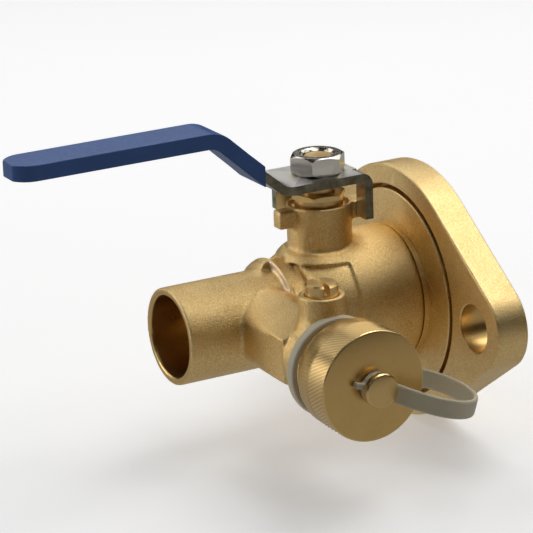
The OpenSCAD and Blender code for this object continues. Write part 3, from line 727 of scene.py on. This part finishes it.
def polished_ball(name):
    made, tree, shader, place = material(name)
    patch = use(tree, cloud, Vector=place, Size=150.0)
    base = blend_colours(tree, patch["Tone"], (0.62, 0.63, 0.65), (0.78, 0.78, 0.79))
    tree.links.new(base, shader.inputs["Base Color"])
    shader.inputs["Metallic"].default_value = 1.0
    tree.links.new(spread(tree, patch["Tone"], 0.06, 0.14), shader.inputs["Roughness"])
    return made


VINYL = soft_plastic("dipped_vinyl", (0.022, 0.085, 0.29), (0.030, 0.105, 0.34), 0.36, 900.0, 0.012 * MM)
IVORY = soft_plastic("ivory_nylon", (0.60, 0.54, 0.38), (0.68, 0.62, 0.46), 0.5, 1200.0, 0.006 * MM, 0.35)
PTFE = soft_plastic("white_seat", (0.80, 0.79, 0.74), (0.88, 0.87, 0.83), 0.45, 1500.0, 0.004 * MM, 0.2)
SEAL = soft_plastic("black_seal", (0.012, 0.012, 0.012), (0.03, 0.03, 0.03), 0.55, 1500.0, 0.006 * MM)
CHROME = polished_ball("chromed_ball")

# %% [markdown]
# ## Dressing the pieces
# One table says which finish each piece wears. Some wear more than one. The lever's broad faces
# are plated smooth, and its cut edges are rough. The body has a trimmed rim, lightened by a
# painted highlight, and a turned socket.
# The flange's holes are drilled. A face's own place and direction choose its finish.

# %% Dress the pieces
def dress(obj, *finishes, rule=None):
    """Puts on the finishes; a rule picks one of them for each face from its middle and normal."""
    obj.data.materials.clear()
    for finish in finishes:
        obj.data.materials.append(finish)
    faces = obj.data.polygons
    picks = [rule(f.center, f.normal) if rule else 0 for f in faces]
    faces.foreach_set("material_index", picks)
    if rule:
        print(obj.name, "wears", [picks.count(i) for i in range(len(finishes))], "faces of each finish")


RIM_X = STEM_X - 16.0 * MM
RIM_INNER_R = 13.6 * MM
SOCKET_STOP = STEM_X - 27.1 * MM
SOCKET_R = 12.6 * MM
TUBE_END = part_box("valve_body")[0].x
BOLT_Y = 40.1 * MM
BOLT_HOLE_R = 6.8 * MM
SIDE_TAB_Y = 9.1 * MM
TAB_LOW = 30 * MM


def body_rule(at, normal):
    off_axis = math.hypot(at.y, at.z)
    on_rim = abs(at.x - RIM_X) < 0.7 * MM and at.y < -1 * MM and off_axis > RIM_INNER_R
    # the rim's face turned to -X wears the trimmed brass with its painted highlight
    if on_rim and normal.x < -0.8:
        return 1
    if off_axis < SOCKET_R and TUBE_END <= at.x < SOCKET_STOP + 1 * MM:
        return 2
    return 0


def flange_rule(at, normal):
    off_bolt = math.hypot(abs(at.y) - BOLT_Y, at.z)
    return 1 if off_bolt < BOLT_HOLE_R and abs(normal.x) < 0.6 else 0


def lever_rule(at, normal):
    """The sheared edges face sideways, and the side tab's own edges face along the pipe."""
    across = normal.x if at.y > SIDE_TAB_Y else normal.y
    hung = at.z < TAB_LOW and normal.z < -0.7
    return 1 if abs(across) > 0.62 or hung else 0


dress(forged_body, BLASTED, TRIMMED_WITH_PAINTED_HIGHLIGHT, BORE_BRASS, rule=body_rule)
dress(oval_flange, BLASTED_FLANGE, BORE_BRASS, rule=flange_rule)
dress(bent_lever, LEVER_FACE, SHEARED, rule=lever_rule)
for obj, finish in ((collar_tailpiece, BLASTED_FLANGE),
                    (dipped_grip, VINYL), (plated_nut, NUT_PLATING), (gland, STEM_BRASS),
                    (stem_bar, STEM_BRASS), (slotted_stem, SCREW_BRASS), (knurled_cap, CAP_BRASS),
                    (moulded_strap, IVORY)):
    dress(obj, finish)
for node, finish in (("main_ball", CHROME), ("drain_ball", CHROME), ("ball_seat_inlet", PTFE),
                     ("ball_seat_outlet", PTFE), ("drain_seat_inner", PTFE), ("drain_seat_outer", PTFE),
                     ("stem_packing", PTFE), ("stem_thrust_washer", PTFE), ("tailpiece_seal", SEAL),
                     ("nipple_seal", SEAL), ("drain_stem_rings", SEAL), ("drain_cap_gasket", SEAL),
                     ("drain_outlet_nipple", CAP_BRASS)):
    dress(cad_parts[node], finish)

# %% [markdown]
# ## Studio
# A white floor under soft boxes. Brass takes its modelling from the dark gaps between the boxes,
# so the room itself is black. The main box hangs over the flange, one row of boxes stands behind
# the valve and a low one lights the left edge. The floor looks white to the camera, but it shines
# only dimly into the metal, as a white table does when grey cards stand round the object.

# %% Floor
FLOOR_HALF = 3.0
FLOOR_GAP = 0.2 * MM
FLOOR_SHINE = 0.34


def studio_floor():
    bm = bmesh.new()
    bmesh.ops.create_grid(bm, x_segments=1, y_segments=1, size=FLOOR_HALF)
    bmesh.ops.translate(bm, verts=bm.verts, vec=(0, 0, cad_box[0][2] - FLOOR_GAP))
    mesh = bpy.data.meshes.new("floor")
    bm.to_mesh(mesh)
    bm.free()
    floor = bpy.data.objects.new("floor", mesh)
    bpy.context.scene.collection.objects.link(floor)
    return floor


floor = studio_floor()
made, tree, shader, place = material("floor_white")
patch = use(tree, cloud, Vector=place, Size=3.0)
tree.links.new(blend_colours(tree, patch["Tone"], (0.88, 0.88, 0.88), (0.9, 0.9, 0.9)),
               shader.inputs["Base Color"])
shader.inputs["Roughness"].default_value = 1.0
shader.inputs["Specular IOR Level"].default_value = 0.0
shader.inputs["Emission Color"].default_value = (1, 1, 1, 1)
shader.inputs["Emission Strength"].default_value = 0.3
dim = add(tree, "ShaderNodeEmission", Color=(1.0, 0.98, 0.95, 1), Strength=FLOOR_SHINE)
seen = add(tree, "ShaderNodeLightPath")
mix = add(tree, "ShaderNodeMixShader", in0=seen.outputs["Is Camera Ray"], in1=dim.outputs[0],
          in2=shader.outputs[0])
out = next(n for n in tree.nodes if n.type == "OUTPUT_MATERIAL")
tree.links.new(mix.outputs[0], out.inputs["Surface"])
floor.data.materials.append(made)
print("floor at z =", round(cad_box[0][2] - FLOOR_GAP, 4))

# %% Soft boxes
# name, compass angle from +X, rise, size in metres and watts; each stands one metre away
BOXES = [("top_box", 0, 68, 0.55, 2.6), ("front_top_box", 270, 68, 0.55, 1.25),
         ("right_back_box", 22, 40, 0.55, 1.1), ("back_box", 67, 40, 0.55, 1.4),
         ("back_left_box", 112, 40, 0.55, 1.15), ("left_box", 157, 40, 0.55, 0.9),
         ("low_left_box", 144, 12, 0.55, 2.1), ("right_box", 337, 40, 0.55, 0.8)]
centre = Vector((STEM_X, -0.01, 0))
for name, compass, rise, width, watts in BOXES:
    a, e = math.radians(compass), math.radians(rise)
    data = bpy.data.lights.new(name, "AREA")
    data.shape = "DISK"
    data.size = width
    data.energy = watts
    lamp = bpy.data.objects.new(name, data)
    bpy.context.scene.collection.objects.link(lamp)
    out_from = Vector((math.cos(a) * math.cos(e), math.sin(a) * math.cos(e), math.sin(e)))
    lamp.location = centre + out_from
    lamp.rotation_euler = (-out_from).to_track_quat("-Z", "Y").to_euler()
world = bpy.data.worlds.new("black_room")
bpy.context.scene.world = world
world.use_nodes = True
world.node_tree.nodes["Background"].inputs["Color"].default_value = (0.0, 0.0, 0.0, 1)
bpy.context.scene.view_settings.view_transform = "Standard"
print(len(BOXES), "soft boxes of", round(sum(b[4] for b in BOXES), 1), "W in all")
